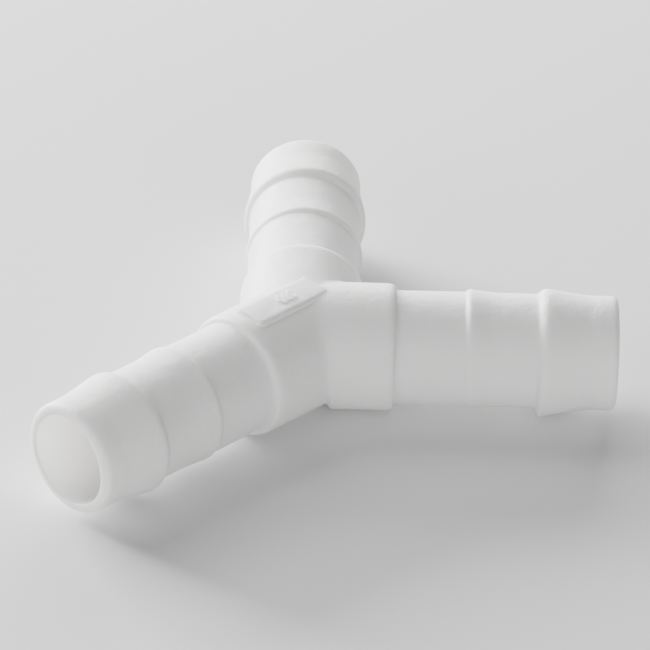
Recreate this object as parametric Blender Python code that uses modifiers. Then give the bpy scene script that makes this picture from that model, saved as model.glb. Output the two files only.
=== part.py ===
"""Barbed wye hose connector: three equal barbed arms moulded as one hollow piece.

The side and rear arms stand at a right angle, and the branch arm leaves the hub at
135 degrees to each of them. The bores meet at the hub, and a flat marking pad lies
along the top of the branch arm's collar.
Lengths are in metres and +Z is up. The origin is the centre of the footprint, on
the surface that the connector lies on.
"""

import math
from collections import namedtuple

import bmesh
import bpy
from mathutils import Matrix, Vector

MM = 0.001

# Arms: azimuths about the hub, and the stations and radii along each arm's axis.
AZIMUTHS = {"side": 0.0, "rear": math.radians(90.0), "branch": math.radians(225.0)}
ARM_LENGTH = 33.0 * MM
STEM_RADIUS = 6.0 * MM
BORE_RADIUS = 4.9 * MM
LIP_RADIUS = 0.7 * MM
LIP_STEPS = 4

# Stop collars: the hose is pushed up to the collar's end.
COLLAR_RADIUS = 6.65 * MM
COLLAR_END = 9.65 * MM
COLLAR_ROUND = 0.55 * MM
COLLAR_START = 2.5 * MM
BRANCH_COLLAR_START = -2.0 * MM
STEM_START = -0.5 * MM
BORE_STARTS = {"side": -0.7 * MM, "rear": -1.1 * MM, "branch": -1.5 * MM}

# Barbs: the foot, crest and end of taper are stations along the arm, rise is the
# height over the stem, and lift moves the crest's centre up or down from the axis.
Barb = namedtuple("Barb", "foot crest taper_end rise lift")
OUTER_BARB = Barb(24.5 * MM, 25.1 * MM, 29.9 * MM, 0.65 * MM, -0.25 * MM)
INNER_BARB = Barb(17.0 * MM, 17.5 * MM, 20.4 * MM, 0.3 * MM, 0.1 * MM)

# Marking pad: a flat raised along the top of the branch collar.
PAD_START = -1.85 * MM
PAD_END = 7.75 * MM
PAD_WIDTH = 3.45 * MM
PAD_TOP = 6.78 * MM
PAD_ROOT = 5.6 * MM
PAD_CORNER = 0.3 * MM

# Each arm is turned by its own share of a segment, so that no facets of two arms
# lie in one plane where the arms cross.
SEGMENTS = 40
PHASES = {"side": 0.0, "rear": 0.33, "branch": 0.67}
ROUND_STEPS = 3
MERGE = 0.00001
PASS_THROUGH = 2.0 * MM

# The footprint's centre lies between the side arm's end and the branch arm's lip.
LIP_CORNER = ARM_LENGTH + STEM_RADIUS - 2.0 * LIP_RADIUS * (1.0 - math.sqrt(0.5))
BRANCH_REACH = LIP_CORNER * math.sqrt(0.5)
HUB_SHIFT = (BRANCH_REACH - ARM_LENGTH) / 2.0
HUB_HEIGHT = STEM_RADIUS + OUTER_BARB.rise - OUTER_BARB.lift
HUB = Vector((HUB_SHIFT, HUB_SHIFT, HUB_HEIGHT))

WHITE_PLASTIC = (0.86, 0.86, 0.84, 1.0)


def clear_scene():
    """Remove what the file opened with."""
    for old in list(bpy.data.objects):
        bpy.data.objects.remove(old, do_unlink=True)


def new_collection(name):
    """Add a collection to the scene."""
    collection = bpy.data.collections.new(name)
    bpy.context.scene.collection.children.link(collection)
    return collection


def plastic(name, color, roughness):
    """A plain moulded plastic."""
    material = bpy.data.materials.new(name)
    material.use_nodes = True
    shader = material.node_tree.nodes["Principled BSDF"]
    shader.inputs["Base Color"].default_value = color
    shader.inputs["Roughness"].default_value = roughness
    shader.inputs["Metallic"].default_value = 0.0
    return material


def arc(center, radius, start, end, steps):
    """Points on an arc in the profile plane, angles in degrees from +X."""
    points = []
    for step in range(steps + 1):
        angle = math.radians(start + (end - start) * step / steps)
        points.append((center[0] + radius * math.cos(angle), center[1] + radius * math.sin(angle)))
    return points


def turned(name, profile, phase):
    """Mesh of a profile of (radius, station) pairs, tip first, turned about local Z."""
    wire = bpy.data.meshes.new(name + "_profile")
    vertices = [(radius, 0.0, station) for radius, station in profile]
    edges = [(index, index + 1) for index in range(len(vertices) - 1)]
    wire.from_pydata(vertices, edges, [])
    turning = bpy.data.objects.new(name + "_profile", wire)
    bpy.context.scene.collection.objects.link(turning)
    screw = turning.modifiers.new("turn", "SCREW")
    screw.axis = "Z"
    screw.angle = 2.0 * math.pi
    screw.steps = SEGMENTS
    screw.render_steps = SEGMENTS
    screw.use_merge_vertices = True
    screw.merge_threshold = MERGE
    screw.use_smooth_shade = True
    depsgraph = bpy.context.evaluated_depsgraph_get()
    mesh = bpy.data.meshes.new_from_object(turning.evaluated_get(depsgraph))
    mesh.name = name
    mesh.transform(Matrix.Rotation(phase * 2.0 * math.pi / SEGMENTS, 4, "Z"))
    bpy.data.objects.remove(turning, do_unlink=True)
    bpy.data.meshes.remove(wire)
    return mesh


def along_arm(name, mesh, collection, azimuth):
    """Place a turned mesh with its local +Z along an arm and its origin at the hub."""
    obj = bpy.data.objects.new(name, mesh)
    collection.objects.link(obj)
    obj.location = HUB
    obj.rotation_euler = (0.0, math.pi / 2.0, azimuth)
    return obj


def collar_points(start):
    """Collar band, outer end first, with both edges rounded."""
    shoulder = COLLAR_RADIUS - COLLAR_ROUND
    points = arc((shoulder, COLLAR_END - COLLAR_ROUND), COLLAR_ROUND, 90.0, 0.0, ROUND_STEPS)
    points += arc((shoulder, start + COLLAR_ROUND), COLLAR_ROUND, 0.0, -90.0, ROUND_STEPS)
    return points


def barb_points(barb):
    """Barb: a long taper on the tip side and a short back face on the hub side."""
    crest = (STEM_RADIUS + barb.rise, barb.crest)
    return [(STEM_RADIUS, barb.taper_end), crest, (STEM_RADIUS, barb.foot)]


def arm_mesh(arm, collar_start, phase):
    """One arm from its rounded lip to past the hub's centre, before the bore is cut."""
    lip = (STEM_RADIUS - LIP_RADIUS, ARM_LENGTH - LIP_RADIUS)
    profile = [(0.0, ARM_LENGTH)]
    profile += arc(lip, LIP_RADIUS, 90.0, 0.0, LIP_STEPS)
    profile += barb_points(OUTER_BARB)
    profile += barb_points(INNER_BARB)
    profile += [(STEM_RADIUS, COLLAR_END)]
    profile += collar_points(collar_start)
    if collar_start > STEM_START:
        profile += [(STEM_RADIUS, collar_start), (STEM_RADIUS, STEM_START), (0.0, STEM_START)]
    else:
        profile += [(0.0, collar_start)]
    mesh = turned(arm + "_arm", profile, phase)
    for barb in (OUTER_BARB, INNER_BARB):
        for vertex in mesh.vertices:
            if abs(vertex.co.z - barb.crest) < MERGE:
                # Local -X points up once the arm lies level.
                vertex.co.x -= barb.lift
    return mesh


def marking_pad(collection):
    """Raised flat along the branch arm, with rounded corners."""
    mesh = bpy.data.meshes.new("pad_block")
    length = PAD_END - PAD_START
    height = PAD_TOP - PAD_ROOT
    shape = bmesh.new()
    bmesh.ops.create_cube(shape, size=1.0)
    for vertex in shape.verts:
        vertex.co.x = vertex.co.x * length + (PAD_START + PAD_END) / 2.0
        vertex.co.y = vertex.co.y * PAD_WIDTH
        vertex.co.z = vertex.co.z * height + (PAD_TOP + PAD_ROOT) / 2.0
    uprights = []
    for edge in shape.edges:
        if abs(edge.verts[0].co.z - edge.verts[1].co.z) > height / 2.0:
            uprights.append(edge)
    bmesh.ops.bevel(
        shape, geom=uprights, offset=PAD_CORNER, segments=ROUND_STEPS, profile=0.5, affect="EDGES"
    )
    shape.to_mesh(mesh)
    shape.free()
    obj = bpy.data.objects.new("pad_block", mesh)
    collection.objects.link(obj)
    obj.location = HUB
    obj.rotation_euler = (0.0, 0.0, AZIMUTHS["branch"])
    return obj


def combine(body, tool, operation):
    """Join or cut the body with a helper solid, which is left out of the part."""
    boolean = body.modifiers.new(operation.lower() + "_" + tool.name, "BOOLEAN")
    boolean.operation = operation
    boolean.solver = "EXACT"
    boolean.object = tool
    tool.hide_render = True
    tool.display_type = "WIRE"


def bore_core(collection):
    """The three bores as one solid, each running past its arm's lip and the hub's centre."""
    bores = []
    for arm, start in BORE_STARTS.items():
        past_lip = ARM_LENGTH + PASS_THROUGH
        profile = [(0.0, past_lip), (BORE_RADIUS, past_lip), (BORE_RADIUS, start), (0.0, start)]
        mesh = turned(arm + "_bore", profile, PHASES[arm])
        bores.append(along_arm(mesh.name, mesh, collection, AZIMUTHS[arm]))
    core = bores.pop()
    for bore in bores:
        combine(core, bore, "UNION")
    return core


def build_connector():
    """The whole moulding: three arms and the pad are joined, then the bores are cut."""
    part = new_collection("barbed_wye_connector")
    helpers = new_collection("helper_solids")
    body_mesh = arm_mesh("branch", BRANCH_COLLAR_START, PHASES["branch"])
    body = along_arm("connector_body", body_mesh, part, AZIMUTHS["branch"])
    for arm in ("side", "rear"):
        mesh = arm_mesh(arm, COLLAR_START, PHASES[arm])
        combine(body, along_arm(mesh.name, mesh, helpers, AZIMUTHS[arm]), "UNION")
    combine(body, marking_pad(helpers), "UNION")
    combine(body, bore_core(helpers), "DIFFERENCE")
    body.data.materials.append(plastic("white_plastic", WHITE_PLASTIC, 0.5))
    return body


clear_scene()
build_connector()
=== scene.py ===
"""Moulded wye hose connector: a Blender add-on that shapes and finishes one plastic fitting.

The fitting is a single hollow moulding. Three barbed arms meet at a hub, each with a
stop collar, and a flat marking pad lies along the top of the branch arm's collar.
The arms come from a Geometry Nodes tree that turns three sections of the wall, the hub
is a skin laid over a field of blended collars, and both are welded into one body.
"""

import math
from itertools import combinations

import bmesh
import bpy
import numpy as np
from bpy.props import FloatProperty, FloatVectorProperty, IntProperty, PointerProperty
from bpy.types import Operator, Panel, PropertyGroup
from mathutils import Matrix, Vector


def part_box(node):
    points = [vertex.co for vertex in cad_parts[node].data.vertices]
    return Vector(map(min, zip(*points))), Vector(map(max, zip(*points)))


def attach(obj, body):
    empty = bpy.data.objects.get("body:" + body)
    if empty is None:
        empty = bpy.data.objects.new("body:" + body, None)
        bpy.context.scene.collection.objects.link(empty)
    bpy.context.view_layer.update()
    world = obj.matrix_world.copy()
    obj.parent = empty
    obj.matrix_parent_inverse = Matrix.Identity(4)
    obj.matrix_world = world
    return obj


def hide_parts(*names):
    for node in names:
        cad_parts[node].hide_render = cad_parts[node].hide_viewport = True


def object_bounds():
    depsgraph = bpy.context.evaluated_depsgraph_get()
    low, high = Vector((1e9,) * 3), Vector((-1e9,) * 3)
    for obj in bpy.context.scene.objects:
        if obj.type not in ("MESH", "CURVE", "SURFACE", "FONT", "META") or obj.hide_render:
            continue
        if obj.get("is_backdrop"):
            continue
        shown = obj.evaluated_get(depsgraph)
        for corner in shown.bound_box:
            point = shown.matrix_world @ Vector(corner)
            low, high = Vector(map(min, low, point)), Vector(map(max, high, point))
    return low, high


bl_info = {
    "name": "Moulded Wye Connector",
    "version": (1, 0, 0),
    "blender": (4, 5, 0),
    "location": "3D View > Sidebar > Connector",
    "description": "Shapes a barbed wye hose connector and its plastic around a fixed frame",
    "category": "Object",
}

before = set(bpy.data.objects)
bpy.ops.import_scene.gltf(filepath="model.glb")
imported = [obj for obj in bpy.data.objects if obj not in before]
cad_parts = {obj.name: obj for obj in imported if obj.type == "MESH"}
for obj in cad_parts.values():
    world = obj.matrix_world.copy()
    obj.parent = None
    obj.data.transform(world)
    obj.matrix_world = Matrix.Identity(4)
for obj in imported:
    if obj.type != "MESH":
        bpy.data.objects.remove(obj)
CAD_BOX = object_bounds()

BODY = "root"
CAD_NODE = "connector_body"
MM = 0.001

# The three arms by azimuth about the hub, in order round the circle.
ARMS = (("side", 0.0), ("rear", math.radians(90.0)), ("branch", math.radians(225.0)))

# Mesh fineness.
TURN_SEGMENTS = 192
CORNER_STEPS = 5
TAPER_STEPS = 7
HUB_ROWS = 48
BORE_ROWS = 12
WELD_DISTANCE = 2.0e-6
SEARCH_STEPS = 70
SEARCH_HALVINGS = 18
ROUNDING_SEGMENTS = 8
RIM_SEGMENTS = 3
SHARP_ANGLE = math.radians(38.0)

# A chevron's depth along the row over half its width.
CHEVRON_PRESS = 0.62

# A point is on the parting line within this height, or this share of its radius, and
# carries flash when it lies less than the margin under the stem's surface.
SEAM_REACH = 0.02 * MM
SEAM_SHARE = 0.01
FLASH_MARGIN = 0.1 * MM

# Height over which the collars' hub ends pass from their keel to their crown stations.
START_CHANGE = 0.3 * MM

# How fast a blend grows with the angle at which two surfaces cross, and its least size.
BLEND_GAIN = 1.8
LEAST_BLEND = 1.0e-7

# Share of an edge that its two roundings may take up.
EDGE_ROOM = 0.96

# What keeps the joined solids from lying face on face, and how high the cutter stands.
PAD_OVERLAP = 0.1 * MM
LEDGE_GAP = 0.04 * MM
LEDGE_BITE = 0.01 * MM
CUTTER_HEIGHT = 2.0 * MM

# The bore's finish lies within this much of the bore's wall, starts this far past the
# hub's centre and ends this far from the lip.
BORE_SKIN = 0.1 * MM
BORE_REACH = 2.0 * MM
LIP_CLEARANCE = 0.2 * MM

# Sizes of the plastic's patterns, and the bore's share of the outside's grain.
CLOUD_SIZE = 5.0 * MM
SHEEN_SIZE = 0.6 * MM
SHEEN_SPREAD = 0.06
WAVE_SIZE = 1.6 * MM
WAVE_SHARE = 1.5
BORE_GRAIN_SHARE = 0.25


def length(name, description, default):
    """A length property, shown in the scene's unit."""
    return FloatProperty(
        name=name, description=description, default=default, unit="LENGTH", precision=5, step=1
    )


def lengths(name, description, default):
    """Three lengths: on the crown, at the parting line and on the keel."""
    return FloatVectorProperty(
        name=name, description=description, default=default, size=3, unit="LENGTH", precision=5, step=1
    )


def share(name, description, default):
    """A plain factor from 0 to 1."""
    return FloatProperty(name=name, description=description, default=default, min=0.0, max=1.0)


def sag(default):
    """How far a barb's taper hangs below a straight line, from 1 for none."""
    return FloatProperty(
        name="Hollow", description="How far the taper sags", default=default, min=1.0, max=3.0
    )


def power(name, description, default):
    """A lamp's power."""
    return FloatProperty(name=name, description=description, default=default, min=0.0, unit="POWER")


def turned_by(name, description, degrees):
    """An angle, given in degrees."""
    return FloatProperty(
        name=name, description=description, default=math.radians(degrees), subtype="ANGLE"
    )


def color(name, description, default):
    """A linear colour without alpha."""
    return FloatVectorProperty(
        name=name, description=description, default=default, subtype="COLOR", size=3, min=0.0, max=1.0
    )


# --------------------------------------------------------------------- properties


class ConnectorTubeSizes(PropertyGroup):
    """Sizes that the three arms share."""

    arm_length: length("Arm Length", "From the hub's centre to the lip", 33.0 * MM)
    stem_radius: length("Stem Radius", "Outside of the plain tube", 6.0 * MM)
    bore_radius: length("Bore Radius", "Inside of the tube", 4.9 * MM)
    root_radius: length("Root Radius", "Outside of the tube where it meets the collar", 5.94 * MM)
    lip_radius: length("Lip Radius", "Rounding of the lip's outer edge", 0.8 * MM)
    mouth_radius: length("Mouth Radius", "Rounding of the lip's inner edge", 0.12 * MM)
    collar_radius: length("Collar Radius", "Outside of the stop collar", 6.65 * MM)
    collar_end: length("Collar End", "Stop face of the collar", 9.65 * MM)
    collar_run: length("Collar Run", "How far the collar's rounded edge runs along it", 1.0 * MM)
    collar_drop: length("Collar Drop", "How far the rounded edge runs down the stop face", 0.42 * MM)
    collar_fillet: length("Collar Fillet", "Rounding where the stop face meets the tube", 0.25 * MM)
    branch_keel: share("Branch Keel Share", "How much of the keel's own barb shape the branch has", 0.25)
    seam_height: length("Seam Height", "Flash along the mould's parting line", 0.012 * MM)


class ConnectorOuterBarbSizes(PropertyGroup):
    """The barb next to the lip; three values hold on the crown, at the parting line and on the keel."""

    foot: lengths("Foot", "Where the back face leaves the stem", (24.55 * MM, 24.55 * MM, 24.55 * MM))
    crest: lengths("Crest", "Station of the crest", (25.3 * MM, 25.1 * MM, 24.85 * MM))
    rise: lengths("Rise", "Height of the crest over the stem", (0.62 * MM, 0.66 * MM, 0.94 * MM))
    edge: lengths("Edge", "How far the crest is rounded off", (0.45 * MM, 0.75 * MM, 0.3 * MM))
    taper_end: length("Taper End", "Where the taper reaches the stem", 29.9 * MM)
    hollow: sag(1.1)


class ConnectorInnerBarbSizes(PropertyGroup):
    """The low barb between the outer barb and the collar, given like the outer one."""

    foot: lengths("Foot", "Where the back face leaves the stem", (16.95 * MM, 17.0 * MM, 16.95 * MM))
    crest: lengths("Crest", "Station of the crest", (17.4 * MM, 17.4 * MM, 17.5 * MM))
    rise: lengths("Rise", "Height of the crest over the stem", (0.34 * MM, 0.3 * MM, 0.1 * MM))
    edge: lengths("Edge", "How far the crest is rounded off", (0.25 * MM, 0.4 * MM, 0.5 * MM))
    taper_end: length("Taper End", "Where the taper reaches the stem", 20.6 * MM)
    hollow: sag(1.5)


class ConnectorHubSizes(PropertyGroup):
    """How the collars run together at the hub."""

    zone_end: length("Hub Zone End", "Station where the hub's skin hands over to the arms", 8.6 * MM)
    crown_start: length("Crown Start", "Where each collar starts above the parting line", -1.5 * MM)
    keel_start: length("Keel Start", "Where the side and rear collars start below it", 2.9 * MM)
    branch_start: length("Branch Start", "Where the branch collar starts below it", -2.9 * MM)
    start_round: length("Start Rounding", "Rounding of a collar's hub end", 0.45 * MM)
    branch_blend: length("Branch Blend", "Blend where the branch collar meets the others", 0.6 * MM)
    corner_blend: length("Corner Blend", "Blend where the side and rear collars meet", 0.3 * MM)
    stem_blend: length("Stem Blend", "Blend between a collar and the stems", 0.3 * MM)


class ConnectorPadSizes(PropertyGroup):
    """The flat marking pad, its ledge and its raised mark."""

    start: length("Start", "Pad's end past the hub's centre", -1.85 * MM)
    end: length("End", "Pad's end towards the branch lip", 7.75 * MM)
    width: length("Width", "Across the branch arm", 3.45 * MM)
    top: length("Top", "Height over the arms' axes", 6.78 * MM)
    root: length("Root", "Height where the pad's block starts", 5.7 * MM)
    corner_radius: length("Corner Radius", "Rounding in plan", 0.3 * MM)
    edge_radius: length("Edge Radius", "Rounding of the top edges", 0.1 * MM)
    ledge: length("Ledge", "Width of the ledge round the pad", 0.42 * MM)
    ledge_top: length("Ledge Top", "Height of the ledge over the axes", 6.52 * MM)
    mark_place: length("Mark Place", "Centre of the mark along the arm", 2.6 * MM)
    mark_size: length("Mark Size", "Width of one chevron", 1.5 * MM)
    mark_line: length("Mark Line", "Width of the chevron's line", 0.32 * MM)
    mark_height: length("Mark Height", "Height of the mark over the pad", 0.22 * MM)
    mark_spacing: length("Mark Spacing", "From one chevron to the next", 0.75 * MM)
    mark_count: IntProperty(name="Mark Count", description="Chevrons in a row", default=3, min=1, max=6)


class ConnectorFinish(PropertyGroup):
    """Natural white plastic with a fine spark-eroded grain."""

    base: color("Plastic", "Colour of the plastic", (0.88, 0.88, 0.87))
    shade: color("Shaded Plastic", "Colour where the plastic is a little denser", (0.85, 0.85, 0.84))
    roughness: share("Roughness", "Roughness of the grained outside", 0.5)
    # The bore's colour is lighter than the outside's plastic: painted light for the light that comes
    # through the wall into the bore.
    bore_base_with_painted_light: color("Bore Plastic With Painted Light", "Colour inside the bore, where light is caught", (0.96, 0.96, 0.95))
    bore_roughness: share("Bore Roughness", "Roughness of the smooth bore", 0.38)
    translucency: share("Translucency", "Share of light that goes through the skin", 0.7)
    glow_depth: length("Glow Depth", "How far light spreads under the outside's skin", 1.0 * MM)
    bore_glow: length("Bore Glow Depth", "How far light spreads under the bore's skin", 4.0 * MM)
    grain_size: length("Grain Size", "Width of one grain", 0.3 * MM)
    grain_depth: length("Grain Depth", "Height of the grain", 0.06 * MM)


class ConnectorStage(PropertyGroup):
    """Floor, lights and camera."""

    floor: color("Floor", "Colour of the floor", (0.78, 0.78, 0.78))
    floor_size: length("Floor Size", "Side of the floor", 3.0)
    key: power("Key Light", "Power from behind left", 15.0)
    high: power("High Light", "Power from above, behind left", 2.1)
    rim: power("Rim Light", "Power from behind", 4.1)
    left: power("Left Fill", "Power from the front left", 1.5)
    front: power("Front Fill", "Power from the front, a little to the right", 2.1)
    lens: FloatProperty(name="Lens", description="Focal length", default=296.8, min=1.0, unit="CAMERA")
    distance: length("Distance", "From the hub's centre to the camera", 0.5613)
    turn: turned_by("Turn", "Camera azimuth", -0.405)
    tilt: turned_by("Tilt", "Camera elevation", 31.82)
    roll: turned_by("Roll", "Camera roll", 1.898)
    side_shift: length("Side Shift", "Camera moved to its right", 2.437 * MM)
    rise_shift: length("Rise Shift", "Camera moved up in its own plane", 2.015 * MM)


class ConnectorSettings(PropertyGroup):
    """All settings of the connector."""

    tube: PointerProperty(type=ConnectorTubeSizes, name="Tube", description="Arm sizes")
    outer_barb: PointerProperty(type=ConnectorOuterBarbSizes, name="Outer Barb", description="Outer barb")
    inner_barb: PointerProperty(type=ConnectorInnerBarbSizes, name="Inner Barb", description="Inner barb")
    hub: PointerProperty(type=ConnectorHubSizes, name="Hub", description="Hub sizes")
    pad: PointerProperty(type=ConnectorPadSizes, name="Pad", description="Marking pad")
    finish: PointerProperty(type=ConnectorFinish, name="Finish", description="Plastic")
    stage: PointerProperty(type=ConnectorStage, name="Stage", description="Floor, lights and camera")


# --------------------------------------------------------------- frame of the part


def hub_centre(settings):
    """Where the three axes meet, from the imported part's box."""
    low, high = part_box(CAD_NODE)
    reach = settings.tube.arm_length
    return Vector((high.x - reach, high.y - reach, high.z - settings.pad.top))


def arm_axes(azimuth):
    """Unit vectors along an arm and to its left."""
    along = np.array([math.cos(azimuth), math.sin(azimuth), 0.0])
    left = np.array([-math.sin(azimuth), math.cos(azimuth), 0.0])
    return along, left


def neighbour_gaps():
    """For each arm, the angles to its left and right neighbours."""
    angles = [azimuth for name, azimuth in ARMS]
    full = 2.0 * math.pi
    gaps = {}
    for index, (name, azimuth) in enumerate(ARMS):
        left = (angles[(index + 1) % len(ARMS)] - azimuth) % full
        right = (azimuth - angles[index - 1]) % full
        gaps[name] = (left, right)
    return gaps


# ----------------------------------------------------------------- wall sections


def rounded(corners):
    """Points of a section whose (station, radius, reach) corners are rounded.

    Reach is how far the rounding goes back and on from the corner, or a pair of the two.
    Roundings that would meet on a short edge shrink to share it. A corner with no reach
    stays one point; the others give CORNER_STEPS + 1.
    """
    places = [Vector(corner[:2]) for corner in corners]
    backs, ons = [], []
    for station, radius, reach in corners:
        back, on = reach if isinstance(reach, tuple) else (reach, reach)
        backs.append(back)
        ons.append(on)
    for index in range(len(corners) - 1):
        room = EDGE_ROOM * (places[index + 1] - places[index]).length
        wanted = ons[index] + backs[index + 1]
        if wanted > room:
            ons[index] *= room / wanted
            backs[index + 1] *= room / wanted
    points = []
    for index, here in enumerate(places):
        if not corners[index][2]:
            points.append(tuple(here))
            continue
        start = here + (places[index - 1] - here).normalized() * backs[index]
        end = here + (places[index + 1] - here).normalized() * ons[index]
        for step in range(CORNER_STEPS + 1):
            t = step / CORNER_STEPS
            points.append(tuple(start.lerp(here, t).lerp(here.lerp(end, t), t)))
    return points


def barb_corners(barb, place, stem):
    """Foot, crest and sagging taper of one barb, hub side first."""
    crest, rise, edge = barb.crest[place], barb.rise[place], barb.edge[place]
    corners = [(barb.foot[place], stem, edge * 0.5), (crest, stem + rise, edge)]
    for step in range(1, TAPER_STEPS):
        t = step / TAPER_STEPS
        station = crest + (barb.taper_end - crest) * t
        corners.append((station, stem + rise * (1.0 - t) ** barb.hollow, 0.0))
    corners.append((barb.taper_end, stem, 0.4 * MM))
    return corners


def wall_section(settings, place):
    """Section of the wall from the hub zone, out along the outside and back up the bore."""
    tube = settings.tube
    start = settings.hub.zone_end
    stem = tube.stem_radius
    corners = [
        (start, tube.collar_radius, 0.0),
        (tube.collar_end, tube.collar_radius, (tube.collar_run, tube.collar_drop)),
        (tube.collar_end, tube.root_radius, tube.collar_fillet),
    ]
    for barb in (settings.inner_barb, settings.outer_barb):
        corners += barb_corners(barb, place, stem)
    corners += [
        (tube.arm_length, stem, tube.lip_radius),
        (tube.arm_length, tube.bore_radius, tube.mouth_radius),
        (start, tube.bore_radius, 0.0),
    ]
    return rounded(corners)


def section_object(settings):
    """An open line of vertices that carries the crown, side and keel sections as attributes."""
    sections = {}
    for place, where in enumerate(("crown", "side", "keel")):
        sections[where] = wall_section(settings, place)
    side = sections["side"]
    mesh = bpy.data.meshes.new("wall_section")
    edges = [(index, index + 1) for index in range(len(side) - 1)]
    mesh.from_pydata([(station, radius, 0.0) for station, radius in side], edges, [])
    outside = settings.tube.stem_radius - FLASH_MARGIN
    columns = {"outside": [float(radius > outside) for station, radius in side]}
    for where, points in sections.items():
        columns[where + "_station"], columns[where + "_radius"] = zip(*points)
    for name, values in columns.items():
        attribute = mesh.attributes.new(name, "FLOAT", "POINT")
        attribute.data.foreach_set("value", np.array(values, np.float32))
    section = bpy.data.objects.new("wall_section", mesh)
    bpy.context.scene.collection.objects.link(section)
    return section


# ------------------------------------------------------------------ geometry nodes


class Tree:
    """A node group with short ways to add and link nodes."""

    def __init__(self, name, inputs):
        self.group = bpy.data.node_groups.new(name, "GeometryNodeTree")
        self.group.is_modifier = True
        interface = self.group.interface
        interface.new_socket("Geometry", in_out="INPUT", socket_type="NodeSocketGeometry")
        for label, kind, value in inputs:
            socket = interface.new_socket(label, in_out="INPUT", socket_type="NodeSocket" + kind)
            if value is not None:
                socket.default_value = value
        interface.new_socket("Geometry", in_out="OUTPUT", socket_type="NodeSocketGeometry")
        self.given = self.group.nodes.new("NodeGroupInput").outputs
        self.result = self.group.nodes.new("NodeGroupOutput").inputs[0]

    def node(self, kind, values=(), **settings):
        """Add a node; values go to its inputs in order, as links or as numbers."""
        node = self.group.nodes.new(kind)
        for key, value in settings.items():
            setattr(node, key, value)
        for socket, value in values:
            target = node.inputs[socket]
            if isinstance(value, bpy.types.NodeSocket):
                self.group.links.new(value, target)
            else:
                target.default_value = value
        return node.outputs

    def math(self, operation, *values):
        """Add a math node."""
        return self.node("ShaderNodeMath", list(enumerate(values)), operation=operation)[0]

    def named(self, name):
        """Read a float attribute."""
        read = self.node("GeometryNodeInputNamedAttribute", [("Name", name)], data_type="FLOAT")
        return read["Attribute"]

    def finish(self, geometry, material):
        """End in Realize Instances, smooth faces and the material."""
        real = self.node("GeometryNodeRealizeInstances", [("Geometry", geometry)])[0]
        smooth = self.node("GeometryNodeSetShadeSmooth", [("Geometry", real)])[0]
        done = self.node("GeometryNodeSetMaterial", [("Geometry", smooth), ("Material", material)])[0]
        self.group.links.new(done, self.result)
        return self.group


def turned_wall_tree():
    """Turn the wall's section about an arm's axis.

    A circle sweeps the section's line, and each point then goes to its true place.
    Above the parting line the section passes from side to crown with the point's
    height, and below it from side to keel.
    """
    inputs = (
        ("Segments", "Int", TURN_SEGMENTS),
        ("Azimuth", "Float", 0.0),
        ("Hub", "Vector", (0.0, 0.0, 0.0)),
        ("Seam Height", "Float", 0.0),
        ("Keel Share", "Float", 1.0),
        ("Plastic", "Material", None),
    )
    tree = Tree("turned_wall", inputs)
    given = tree.given
    ring = [("Resolution", given["Segments"]), ("Radius", 1.0)]
    circle = tree.node("GeometryNodeCurvePrimitiveCircle", ring)[0]
    index = tree.node("GeometryNodeInputIndex")[0]
    share_of_turn = tree.math("DIVIDE", index, given["Segments"])
    angle = tree.math("MULTIPLY", share_of_turn, 2.0 * math.pi)
    store = [("Geometry", circle), ("Name", "turn"), ("Value", angle)]
    path = tree.node("GeometryNodeStoreNamedAttribute", store, data_type="FLOAT", domain="POINT")[0]
    line = tree.node("GeometryNodeMeshToCurve", [("Mesh", given["Geometry"])])[0]
    sweep = tree.node("GeometryNodeCurveToMesh", [("Curve", path), ("Profile Curve", line)])[0]

    turn = tree.named("turn")
    rise = tree.math("COSINE", turn)
    across = tree.math("SINE", turn)
    up = tree.math("MAXIMUM", rise, 0.0)
    down = tree.math("MAXIMUM", tree.math("MULTIPLY", rise, -1.0), 0.0)
    down = tree.math("MULTIPLY", down, given["Keel Share"])

    def blended(part):
        """The section's station or radius at the point's height."""
        side = tree.named("side_" + part)
        to_crown = tree.math("SUBTRACT", tree.named("crown_" + part), side)
        to_keel = tree.math("SUBTRACT", tree.named("keel_" + part), side)
        raised = tree.math("MULTIPLY_ADD", to_crown, up, side)
        return tree.math("MULTIPLY_ADD", to_keel, down, raised)

    station = blended("station")
    radius = blended("radius")
    level = tree.math("LESS_THAN", tree.math("ABSOLUTE", rise), SEAM_SHARE)
    flash = tree.math("MULTIPLY", tree.math("MULTIPLY", level, tree.named("outside")), given["Seam Height"])
    radius = tree.math("ADD", radius, flash)
    left = tree.math("MULTIPLY", radius, across)
    height = tree.math("MULTIPLY", radius, rise)
    local = tree.node("ShaderNodeCombineXYZ", [(0, station), (1, left), (2, height)])[0]
    turned = [("Vector", local), ("Angle", given["Azimuth"])]
    world = tree.node("ShaderNodeVectorRotate", turned, rotation_type="Z_AXIS")[0]
    place = tree.node("ShaderNodeVectorMath", [(0, world), (1, given["Hub"])], operation="ADD")[0]
    wall = tree.node("GeometryNodeSetPosition", [("Geometry", sweep), ("Position", place)])[0]
    return tree.finish(wall, given["Plastic"])


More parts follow.
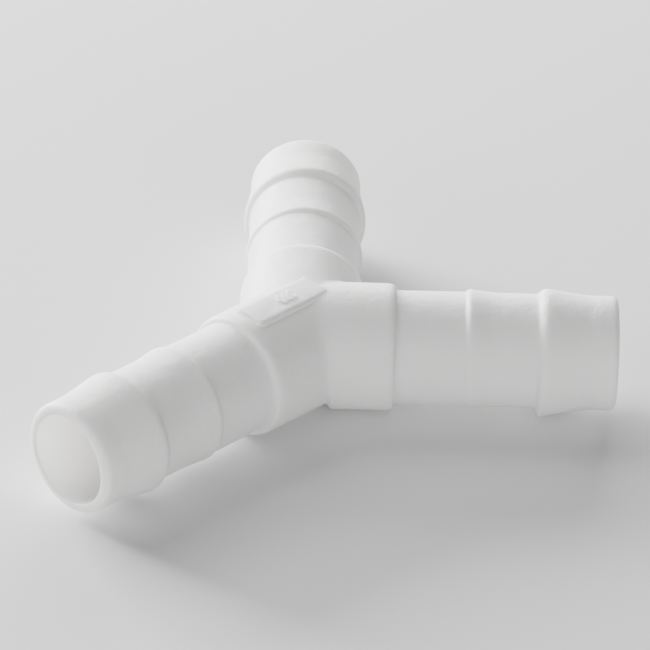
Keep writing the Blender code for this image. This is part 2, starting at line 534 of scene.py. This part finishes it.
def chevron_tree():
    """A row of raised chevrons along X, each an arc of three points with a square section."""
    inputs = (
        ("Count", "Int", 3),
        ("Spacing", "Float", 0.001),
        ("Size", "Float", 0.001),
        ("Line", "Float", 0.0002),
        ("Height", "Float", 0.0002),
        ("Plastic", "Material", None),
    )
    tree = Tree("chevron_row", inputs)
    given = tree.given
    radius = tree.math("MULTIPLY", given["Size"], 0.5)
    bend = [("Resolution", 3), ("Radius", radius)]
    bend += [("Start Angle", -math.pi / 2.0), ("Sweep Angle", math.pi)]
    elbow = tree.node("GeometryNodeCurveArc", bend)[0]
    flat = tree.node("ShaderNodeCombineXYZ", [(0, CHEVRON_PRESS), (1, 1.0), (2, 1.0)])[0]
    pressed = tree.node("GeometryNodeTransform", [("Geometry", elbow), ("Scale", flat)])[0]
    section = [("Width", given["Line"]), ("Height", given["Height"])]
    bar = tree.node("GeometryNodeCurvePrimitiveQuadrilateral", section)[0]
    swept = [("Curve", pressed), ("Profile Curve", bar), ("Fill Caps", True)]
    chevron = tree.node("GeometryNodeCurveToMesh", swept)[0]
    step = tree.node("ShaderNodeCombineXYZ", [(0, given["Spacing"])])[0]
    row = tree.node("GeometryNodeMeshLine", [("Count", given["Count"]), ("Offset", step)])[0]
    copies = tree.node("GeometryNodeInstanceOnPoints", [("Points", row), ("Instance", chevron)])[0]
    return tree.finish(copies, given["Plastic"])


def shaped_by(tree, source, values):
    """Plain mesh of a source object's geometry after a node tree with these inputs."""
    modifier = source.modifiers.new(tree.name, "NODES")
    modifier.node_group = tree
    for item in tree.interface.items_tree:
        if item.in_out == "INPUT" and item.name in values:
            modifier[item.identifier] = values[item.name]
    depsgraph = bpy.context.evaluated_depsgraph_get()
    mesh = bpy.data.meshes.new_from_object(source.evaluated_get(depsgraph))
    source.modifiers.remove(modifier)
    return mesh


# -------------------------------------------------------------------------- hub skin


def soft_min(a, b, blend):
    """Smooth union of two distance fields."""
    near = np.maximum(blend - np.abs(a - b), 0.0) / blend
    return np.minimum(a, b) - near * near * blend / 4.0


def round_max(a, b, rounding):
    """Intersection of two distance fields with a rounded edge."""
    corner = np.sqrt(np.maximum(a + rounding, 0.0) ** 2 + np.maximum(b + rounding, 0.0) ** 2)
    return np.minimum(np.maximum(a, b), -rounding) + corner


def arm_coordinates(points, azimuth):
    """Station, offset to the left and distance from the axis, for points about the hub."""
    along, left = arm_axes(azimuth)
    station = points @ along
    offset = points @ left
    return station, offset, np.hypot(offset, points[:, 2])


def joined(fields, normals, blend_of):
    """Union of the arms' fields, blended by how sharply each pair's surfaces cross."""
    total = None
    for first, second in combinations(fields, 2):
        facing = np.clip((normals[first] * normals[second]).sum(axis=1), -1.0, 1.0)
        crossing = np.minimum(BLEND_GAIN * np.sqrt(1.0 - facing), 1.0)
        blend = np.maximum(blend_of(first, second) * crossing, LEAST_BLEND)
        pair = soft_min(fields[first], fields[second], blend)
        total = pair if total is None else np.minimum(total, pair)
    return total


def hub_field(points, settings):
    """Signed distance to the hub's outside: three stems and the collar round each."""
    tube, hub = settings.tube, settings.hub
    above = np.clip(points[:, 2] / START_CHANGE * 0.5 + 0.5, 0.0, 1.0)
    stems, collars, normals = {}, {}, {}
    for name, azimuth in ARMS:
        along, left = arm_axes(azimuth)
        station, offset, distance = arm_coordinates(points, azimuth)
        normals[name] = offset[:, None] * left
        normals[name][:, 2] += points[:, 2]
        normals[name] /= distance[:, None]
        stems[name] = np.hypot(distance, np.minimum(station, 0.0)) - tube.stem_radius
        keel_start = hub.branch_start if name == "branch" else hub.keel_start
        start = keel_start + (hub.crown_start - keel_start) * above
        collars[name] = round_max(distance - tube.collar_radius, start - station, hub.start_round)

    def collar_blend(first, second):
        """Blend between two arms' collars."""
        return hub.branch_blend if "branch" in (first, second) else hub.corner_blend

    core = joined(stems, normals, lambda first, second: hub.stem_blend)
    return soft_min(joined(collars, normals, collar_blend), core, hub.stem_blend)


def skin_directions(points, radius):
    """Way out of the hub at each point: the slope of three softly joined round-ended rods."""

    def rods(places):
        """Distance to the joined rods."""
        total = None
        for name, azimuth in ARMS:
            station, offset, distance = arm_coordinates(places, azimuth)
            rod = np.hypot(distance, np.minimum(station, 0.0)) - radius
            total = rod if total is None else soft_min(total, rod, radius)
        return total

    step = 1.0e-6
    slopes = []
    for axis in np.eye(3):
        slopes.append(rods(points + axis * step) - rods(points - axis * step))
    slopes = np.array(slopes).T
    return slopes / np.linalg.norm(slopes, axis=1)[:, None]


def drop_to_skin(points, directions, settings):
    """Move each point along its direction to the outermost crossing of the hub's field."""
    reach_out, reach_in = 1.5 * MM, 1.3 * MM
    outside = np.full(len(points), reach_out)
    inside = np.full(len(points), -reach_in)
    found = np.zeros(len(points), bool)
    for travel in np.linspace(reach_out, -reach_in, SEARCH_STEPS):
        hit = (hub_field(points + directions * travel, settings) < 0.0) & ~found
        inside[hit] = travel
        found |= hit
        outside[~found] = travel
    if not found.all():
        raise RuntimeError("the hub's skin has no surface at some points")
    for halving in range(SEARCH_HALVINGS):
        middle = (inside + outside) / 2.0
        within = hub_field(points + directions * middle[:, None], settings) < 0.0
        inside = np.where(within, middle, inside)
        outside = np.where(within, outside, middle)
    return points + directions * inside[:, None]


def mitred_rows(radius, zone_end, rows):
    """For each arm, rows of points from the mitres with its neighbours out to the zone's end."""
    turn = np.arange(TURN_SEGMENTS) * 2.0 * math.pi / TURN_SEGMENTS
    share_out = np.linspace(0.0, 1.0, rows + 1)[:, None]
    gaps = neighbour_gaps()
    result = {}
    for name, azimuth in ARMS:
        along, left = arm_axes(azimuth)
        gap_left, gap_right = gaps[name]
        offset = radius * np.sin(turn)
        height = radius * np.cos(turn)
        gap = np.where(offset > 0.0, gap_left, gap_right)
        mitre = np.abs(offset) / np.tan(gap / 2.0)
        station = mitre + (zone_end - mitre) * share_out
        points = station[..., None] * along + offset[:, None] * left
        points[..., 2] += height
        result[name] = points
    return result


def add_rows(shape, points, hub):
    """Add a closed strip of quads for each pair of rows."""
    rows = []
    for row in points:
        rows.append([shape.verts.new(Vector(point) + hub) for point in row])
    for lower, upper in zip(rows, rows[1:]):
        for index in range(TURN_SEGMENTS):
            after = (index + 1) % TURN_SEGMENTS
            shape.faces.new((lower[index], lower[after], upper[after], upper[index]))


def add_hub(shape, settings, hub):
    """Add the hub's outer skin and its bores."""
    tube = settings.tube
    zone_end = settings.hub.zone_end
    for name, points in mitred_rows(tube.collar_radius, zone_end, HUB_ROWS).items():
        flat = points[:-1].reshape(-1, 3)
        directions = skin_directions(flat, tube.collar_radius)
        points[:-1] = drop_to_skin(flat, directions, settings).reshape(points[:-1].shape)
        level = np.abs(points[:, :, 2]) < SEAM_REACH
        points += level[..., None] * outward_seam(points, name, tube.seam_height)
        add_rows(shape, points, hub)
    for name, points in mitred_rows(tube.bore_radius, zone_end, BORE_ROWS).items():
        add_rows(shape, points, hub)


def outward_seam(points, name, height):
    """Sideways push of the parting line's flash, away from the arm's axis."""
    along, left = arm_axes(dict(ARMS)[name])
    side = np.sign(points @ left)
    push = side[..., None] * left * height
    push[0] = 0.0
    return push


# ------------------------------------------------------------------------- materials


def grained_plastic(name, finish, base, roughness, glow_depth, grain_depth):
    """White plastic whose grain, sheen and tone vary over the surface."""
    material = bpy.data.materials.new(name)
    material.use_nodes = True
    tree = material.node_tree
    nodes, links = tree.nodes, tree.links
    shader = nodes["Principled BSDF"]
    shader.inputs["Metallic"].default_value = 0.0
    shader.inputs["IOR"].default_value = 1.48
    shader.inputs["Subsurface Weight"].default_value = finish.translucency
    shader.inputs["Subsurface Radius"].default_value = (1.0, 0.95, 0.88)
    shader.inputs["Subsurface Scale"].default_value = glow_depth

    place = nodes.new("ShaderNodeTexCoord")

    def noise(size, detail, sharpness=0.5):
        """A noise in object space whose patches are about this size."""
        texture = nodes.new("ShaderNodeTexNoise")
        texture.inputs["Scale"].default_value = 1.0 / size
        texture.inputs["Detail"].default_value = detail
        texture.inputs["Roughness"].default_value = sharpness
        links.new(place.outputs["Object"], texture.inputs["Vector"])
        return texture.outputs["Fac"]

    cloud = noise(CLOUD_SIZE, 2.0)
    tone = nodes.new("ShaderNodeMix")
    tone.data_type = "RGBA"
    tone.inputs["A"].default_value = (*base, 1.0)
    tone.inputs["B"].default_value = (*finish.shade, 1.0)
    links.new(cloud, tone.inputs["Factor"])
    links.new(tone.outputs["Result"], shader.inputs["Base Color"])

    sheen = nodes.new("ShaderNodeMapRange")
    sheen.inputs["To Min"].default_value = roughness - SHEEN_SPREAD
    sheen.inputs["To Max"].default_value = roughness + SHEEN_SPREAD
    links.new(noise(SHEEN_SIZE, 3.0), sheen.inputs["Value"])
    links.new(sheen.outputs["Result"], shader.inputs["Roughness"])

    grain = nodes.new("ShaderNodeBump")
    grain.inputs["Strength"].default_value = 1.0
    grain.inputs["Distance"].default_value = grain_depth
    links.new(noise(finish.grain_size, 3.0, 0.6), grain.inputs["Height"])
    waves = nodes.new("ShaderNodeBump")
    waves.inputs["Strength"].default_value = 1.0
    waves.inputs["Distance"].default_value = grain_depth * WAVE_SHARE
    links.new(noise(WAVE_SIZE, 1.0), waves.inputs["Height"])
    links.new(waves.outputs["Normal"], grain.inputs["Normal"])
    links.new(grain.outputs["Normal"], shader.inputs["Normal"])
    return material


def plain_material(name, base, roughness):
    """An even finish for the stage."""
    material = bpy.data.materials.new(name)
    material.use_nodes = True
    shader = material.node_tree.nodes["Principled BSDF"]
    shader.inputs["Base Color"].default_value = (*base, 1.0)
    shader.inputs["Roughness"].default_value = roughness
    return material


# -------------------------------------------------------------------------- moulding


def link_object(name, mesh):
    """Put a mesh in the scene as an object at the origin."""
    obj = bpy.data.objects.new(name, mesh)
    bpy.context.scene.collection.objects.link(obj)
    return obj


def bevel(shape, edges, radius, segments):
    """Round edges off to a quarter circle."""
    bmesh.ops.bevel(shape, geom=edges, offset=radius, segments=segments, profile=0.5, affect="EDGES")


def pad_tier(pad, start, margin, bottom, top):
    """A block along X, wider than the pad by a margin, with rounded uprights and a softened rim."""
    shape = bmesh.new()
    bmesh.ops.create_cube(shape, size=1.0)
    end = pad.end + margin
    size = Vector((end - start, pad.width + 2.0 * margin, top - bottom))
    centre = Vector(((start + end) / 2.0, 0.0, (top + bottom) / 2.0))
    for vertex in shape.verts:
        vertex.co = vertex.co * size + centre
    uprights = [edge for edge in shape.edges if abs(edge.verts[0].co.z - edge.verts[1].co.z) > size.z / 2.0]
    corner = pad.corner_radius + margin
    bevel(shape, uprights, corner, ROUNDING_SEGMENTS)
    rim = [edge for edge in shape.edges if min(edge.verts[0].co.z, edge.verts[1].co.z) > top - 1.0e-6]
    bevel(shape, rim, pad.edge_radius, RIM_SEGMENTS)
    mesh = bpy.data.meshes.new("pad_tier")
    shape.to_mesh(mesh)
    shape.free()
    return link_object("pad_tier", mesh)


def on_branch(obj, hub):
    """Move a mesh made along X round the origin to the branch arm."""
    obj.data.transform(Matrix.Translation(hub) @ Matrix.Rotation(dict(ARMS)["branch"], 4, "Z"))
    return obj


def ledge_cutter(settings, hub):
    """Clears the collar's crown at the pad's outer end, down to just below the ledge."""
    pad = settings.pad
    start = pad.start + pad.width
    low = pad.ledge_top - LEDGE_BITE
    cutter = pad_tier(pad, start, pad.ledge - LEDGE_GAP, low, low + CUTTER_HEIGHT)
    return on_branch(cutter, hub)


def pad_block(settings, hub, plastic):
    """The pad on its ledge with its raised chevrons, in place on the branch arm."""
    pad = settings.pad
    block = pad_tier(pad, pad.start - pad.ledge, pad.ledge, pad.root, pad.ledge_top)
    combine(block, pad_tier(pad, pad.start, 0.0, pad.root + PAD_OVERLAP, pad.top), "UNION")

    seed = link_object("chevron_seed", bpy.data.meshes.new("chevron_seed"))
    depth = 2.0 * pad.mark_height
    values = {
        "Count": pad.mark_count,
        "Spacing": pad.mark_spacing,
        "Size": pad.mark_size,
        "Line": pad.mark_line,
        "Height": depth,
        "Plastic": plastic,
    }
    chevrons = shaped_by(chevron_tree(), seed, values)
    bpy.data.objects.remove(seed, do_unlink=True)
    run = pad.mark_spacing * (pad.mark_count - 1) + pad.mark_size / 2.0 * CHEVRON_PRESS
    chevrons.transform(Matrix.Translation((pad.mark_place - run / 2.0, 0.0, pad.top)))
    mark = link_object("chevrons", chevrons)
    combine(block, mark, "UNION")
    return on_branch(block, hub)


def combine(body, tool, operation):
    """Join or cut two closed solids, bake the result into the first and remove the second."""
    boolean = body.modifiers.new(operation.lower(), "BOOLEAN")
    boolean.operation = operation
    boolean.solver = "EXACT"
    boolean.object = tool
    depsgraph = bpy.context.evaluated_depsgraph_get()
    mesh = bpy.data.meshes.new_from_object(body.evaluated_get(depsgraph))
    body.modifiers.remove(boolean)
    body.data = mesh
    bpy.data.objects.remove(tool, do_unlink=True)


def weld(shape):
    """Weld the arms to the hub and point every face outwards."""
    bmesh.ops.remove_doubles(shape, verts=shape.verts, dist=WELD_DISTANCE)
    open_edges = [edge for edge in shape.edges if len(edge.link_faces) != 2]
    if open_edges:
        raise RuntimeError(f"the moulding has {len(open_edges)} open edges")
    bmesh.ops.recalc_face_normals(shape, faces=shape.faces)
    if shape.calc_volume(signed=True) < 0.0:
        bmesh.ops.reverse_faces(shape, faces=shape.faces)


def assign_bore_finish(mesh, settings, hub):
    """Faces of the bores take the second material, the smoother plastic whose lighter colour is painted
    light.
    """
    limit = settings.tube.bore_radius + BORE_SKIN
    for face in mesh.polygons:
        point = face.center - hub
        for name, azimuth in ARMS:
            along, left = arm_axes(azimuth)
            station = point.x * along[0] + point.y * along[1]
            offset = point.x * left[0] + point.y * left[1]
            in_bore = math.hypot(offset, point.z) < limit
            if in_bore and -BORE_REACH < station < settings.tube.arm_length - LIP_CLEARANCE:
                face.material_index = 1
                break


class CONNECTOR_OT_moulding(Operator):
    """Shape the whole moulding: three barbed arms, the hub and the marking pad"""

    bl_idname = "connector.moulding"
    bl_label = "Shape Moulding"

    def execute(self, context):
        settings = context.scene.wye_connector
        finish = settings.finish
        hub = hub_centre(settings)
        outside = grained_plastic(
            "grained_white_plastic",
            finish,
            finish.base,
            finish.roughness,
            finish.glow_depth,
            finish.grain_depth,
        )
        # The bore's material is the same plastic, smoother, with a lighter colour that is painted light
        # caught in the bore.
        inside = grained_plastic(
            "smooth_bore_plastic",
            finish,
            finish.bore_base_with_painted_light,
            finish.bore_roughness,
            finish.bore_glow,
            finish.grain_depth * BORE_GRAIN_SHARE,
        )
        shape = bmesh.new()
        add_hub(shape, settings, hub)
        section = section_object(settings)
        tree = turned_wall_tree()
        for name, azimuth in ARMS:
            values = {
                "Segments": TURN_SEGMENTS,
                "Azimuth": azimuth,
                "Hub": hub,
                "Seam Height": settings.tube.seam_height,
                "Keel Share": settings.tube.branch_keel if name == "branch" else 1.0,
                "Plastic": outside,
            }
            arm = shaped_by(tree, section, values)
            shape.from_mesh(arm)
            bpy.data.meshes.remove(arm)
        bpy.data.objects.remove(section, do_unlink=True)
        weld(shape)
        mesh = bpy.data.meshes.new("wye_moulding")
        shape.to_mesh(mesh)
        shape.free()
        moulding = link_object("wye_moulding", mesh)
        combine(moulding, ledge_cutter(settings, hub), "DIFFERENCE")
        combine(moulding, pad_block(settings, hub, outside), "UNION")
        mesh = moulding.data
        mesh.materials.clear()
        mesh.materials.append(outside)
        mesh.materials.append(inside)
        for face in mesh.polygons:
            face.material_index = 0
        assign_bore_finish(mesh, settings, hub)
        mesh.shade_smooth()
        mesh.set_sharp_from_angle(angle=SHARP_ANGLE)
        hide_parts(CAD_NODE)
        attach(moulding, BODY)
        return {"FINISHED"}


# ----------------------------------------------------------------------------- stage


# The lights by their property, with azimuth and elevation in degrees, width and height.
LIGHTS = (
    ("key", 135.0, 14.0, 0.35, 0.25),
    ("high", 135.0, 50.0, 0.35, 0.35),
    ("rim", 90.0, 20.0, 0.35, 0.35),
    ("left", -135.0, 20.0, 0.35, 0.35),
    ("front", -70.0, 20.0, 0.35, 0.35),
)
LIGHT_DISTANCE = 0.6


def area_light(name, power, azimuth, elevation, width, height, target):
    """A soft rectangular light that faces a point."""
    data = bpy.data.lights.new(name + "_light", "AREA")
    data.energy = power
    data.shape = "RECTANGLE"
    data.size = width
    data.size_y = height
    light = bpy.data.objects.new(name + "_light", data)
    bpy.context.scene.collection.objects.link(light)
    turn, tilt = math.radians(azimuth), math.radians(elevation)
    way = Vector((math.cos(turn) * math.cos(tilt), math.sin(turn) * math.cos(tilt), math.sin(tilt)))
    light.location = target + way * LIGHT_DISTANCE
    light.rotation_euler = (-way).to_track_quat("-Z", "Y").to_euler()


def stage_camera(stage, hub):
    """A long lens at the set turn, tilt and roll, moved in its own plane to frame the part."""
    flat = Vector((math.cos(stage.turn), math.sin(stage.turn), 0.0))
    view = Vector(
        (
            -math.sin(stage.turn) * math.cos(stage.tilt),
            math.cos(stage.turn) * math.cos(stage.tilt),
            -math.sin(stage.tilt),
        )
    )
    upright = flat.cross(view)
    right = flat * math.cos(stage.roll) + upright * math.sin(stage.roll)
    up = upright * math.cos(stage.roll) - flat * math.sin(stage.roll)
    data = bpy.data.cameras.new("camera")
    data.lens = stage.lens
    data.sensor_width = 36.0
    data.clip_start = 0.01
    data.clip_end = 20.0
    camera = bpy.data.objects.new("camera", data)
    bpy.context.scene.collection.objects.link(camera)
    place = hub - view * stage.distance + right * stage.side_shift + up * stage.rise_shift
    pose = Matrix((right, up, -view)).transposed().to_4x4()
    camera.matrix_world = Matrix.Translation(place) @ pose
    bpy.context.scene.camera = camera


class CONNECTOR_OT_stage(Operator):
    """Set up the pale floor, the soft lights and the camera"""

    bl_idname = "connector.stage"
    bl_label = "Set Stage"

    def execute(self, context):
        settings = context.scene.wye_connector
        stage = settings.stage
        hub = hub_centre(settings)
        bpy.ops.mesh.primitive_plane_add(size=stage.floor_size, location=(0.0, 0.0, 0.0))
        floor = context.object
        floor.name = "floor"
        floor.data.materials.append(plain_material("pale_floor", stage.floor, 0.9))
        floor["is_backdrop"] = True
        for name, azimuth, elevation, width, height in LIGHTS:
            area_light(name, getattr(stage, name), azimuth, elevation, width, height, hub)
        stage_camera(stage, hub)
        return {"FINISHED"}


# ----------------------------------------------------------------------------- panel


class CONNECTOR_PT_panel(Panel):
    """Sizes, finish and stage of the connector"""

    bl_label = "Wye Connector"
    bl_idname = "CONNECTOR_PT_panel"
    bl_space_type = "VIEW_3D"
    bl_region_type = "UI"
    bl_category = "Connector"

    def draw(self, context):
        settings = context.scene.wye_connector
        layout = self.layout
        for group in ("tube", "outer_barb", "inner_barb", "hub", "pad", "finish", "stage"):
            values = getattr(settings, group)
            box = layout.box()
            box.label(text=group.replace("_", " ").title())
            for key in values.__annotations__:
                box.prop(values, key)
        layout.operator(CONNECTOR_OT_moulding.bl_idname)
        layout.operator(CONNECTOR_OT_stage.bl_idname)


CLASSES = (
    ConnectorTubeSizes,
    ConnectorOuterBarbSizes,
    ConnectorInnerBarbSizes,
    ConnectorHubSizes,
    ConnectorPadSizes,
    ConnectorFinish,
    ConnectorStage,
    ConnectorSettings,
    CONNECTOR_OT_moulding,
    CONNECTOR_OT_stage,
    CONNECTOR_PT_panel,
)


def register():
    """Register the classes and the scene's settings."""
    for cls in CLASSES:
        bpy.utils.register_class(cls)
    bpy.types.Scene.wye_connector = PointerProperty(type=ConnectorSettings)


def unregister():
    """Remove the settings and the classes."""
    del bpy.types.Scene.wye_connector
    for cls in reversed(CLASSES):
        bpy.utils.unregister_class(cls)


def write_sizes():
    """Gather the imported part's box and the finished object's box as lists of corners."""
    boxes = {"cad": CAD_BOX, "visual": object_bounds()}
    boxes = {name: [list(corner) for corner in box] for name, box in boxes.items()}


def main():
    """Build the connector and its stage."""
    register()
    bpy.ops.connector.moulding()
    bpy.ops.connector.stage()
    write_sizes()


if __name__ == "__main__":
    main()
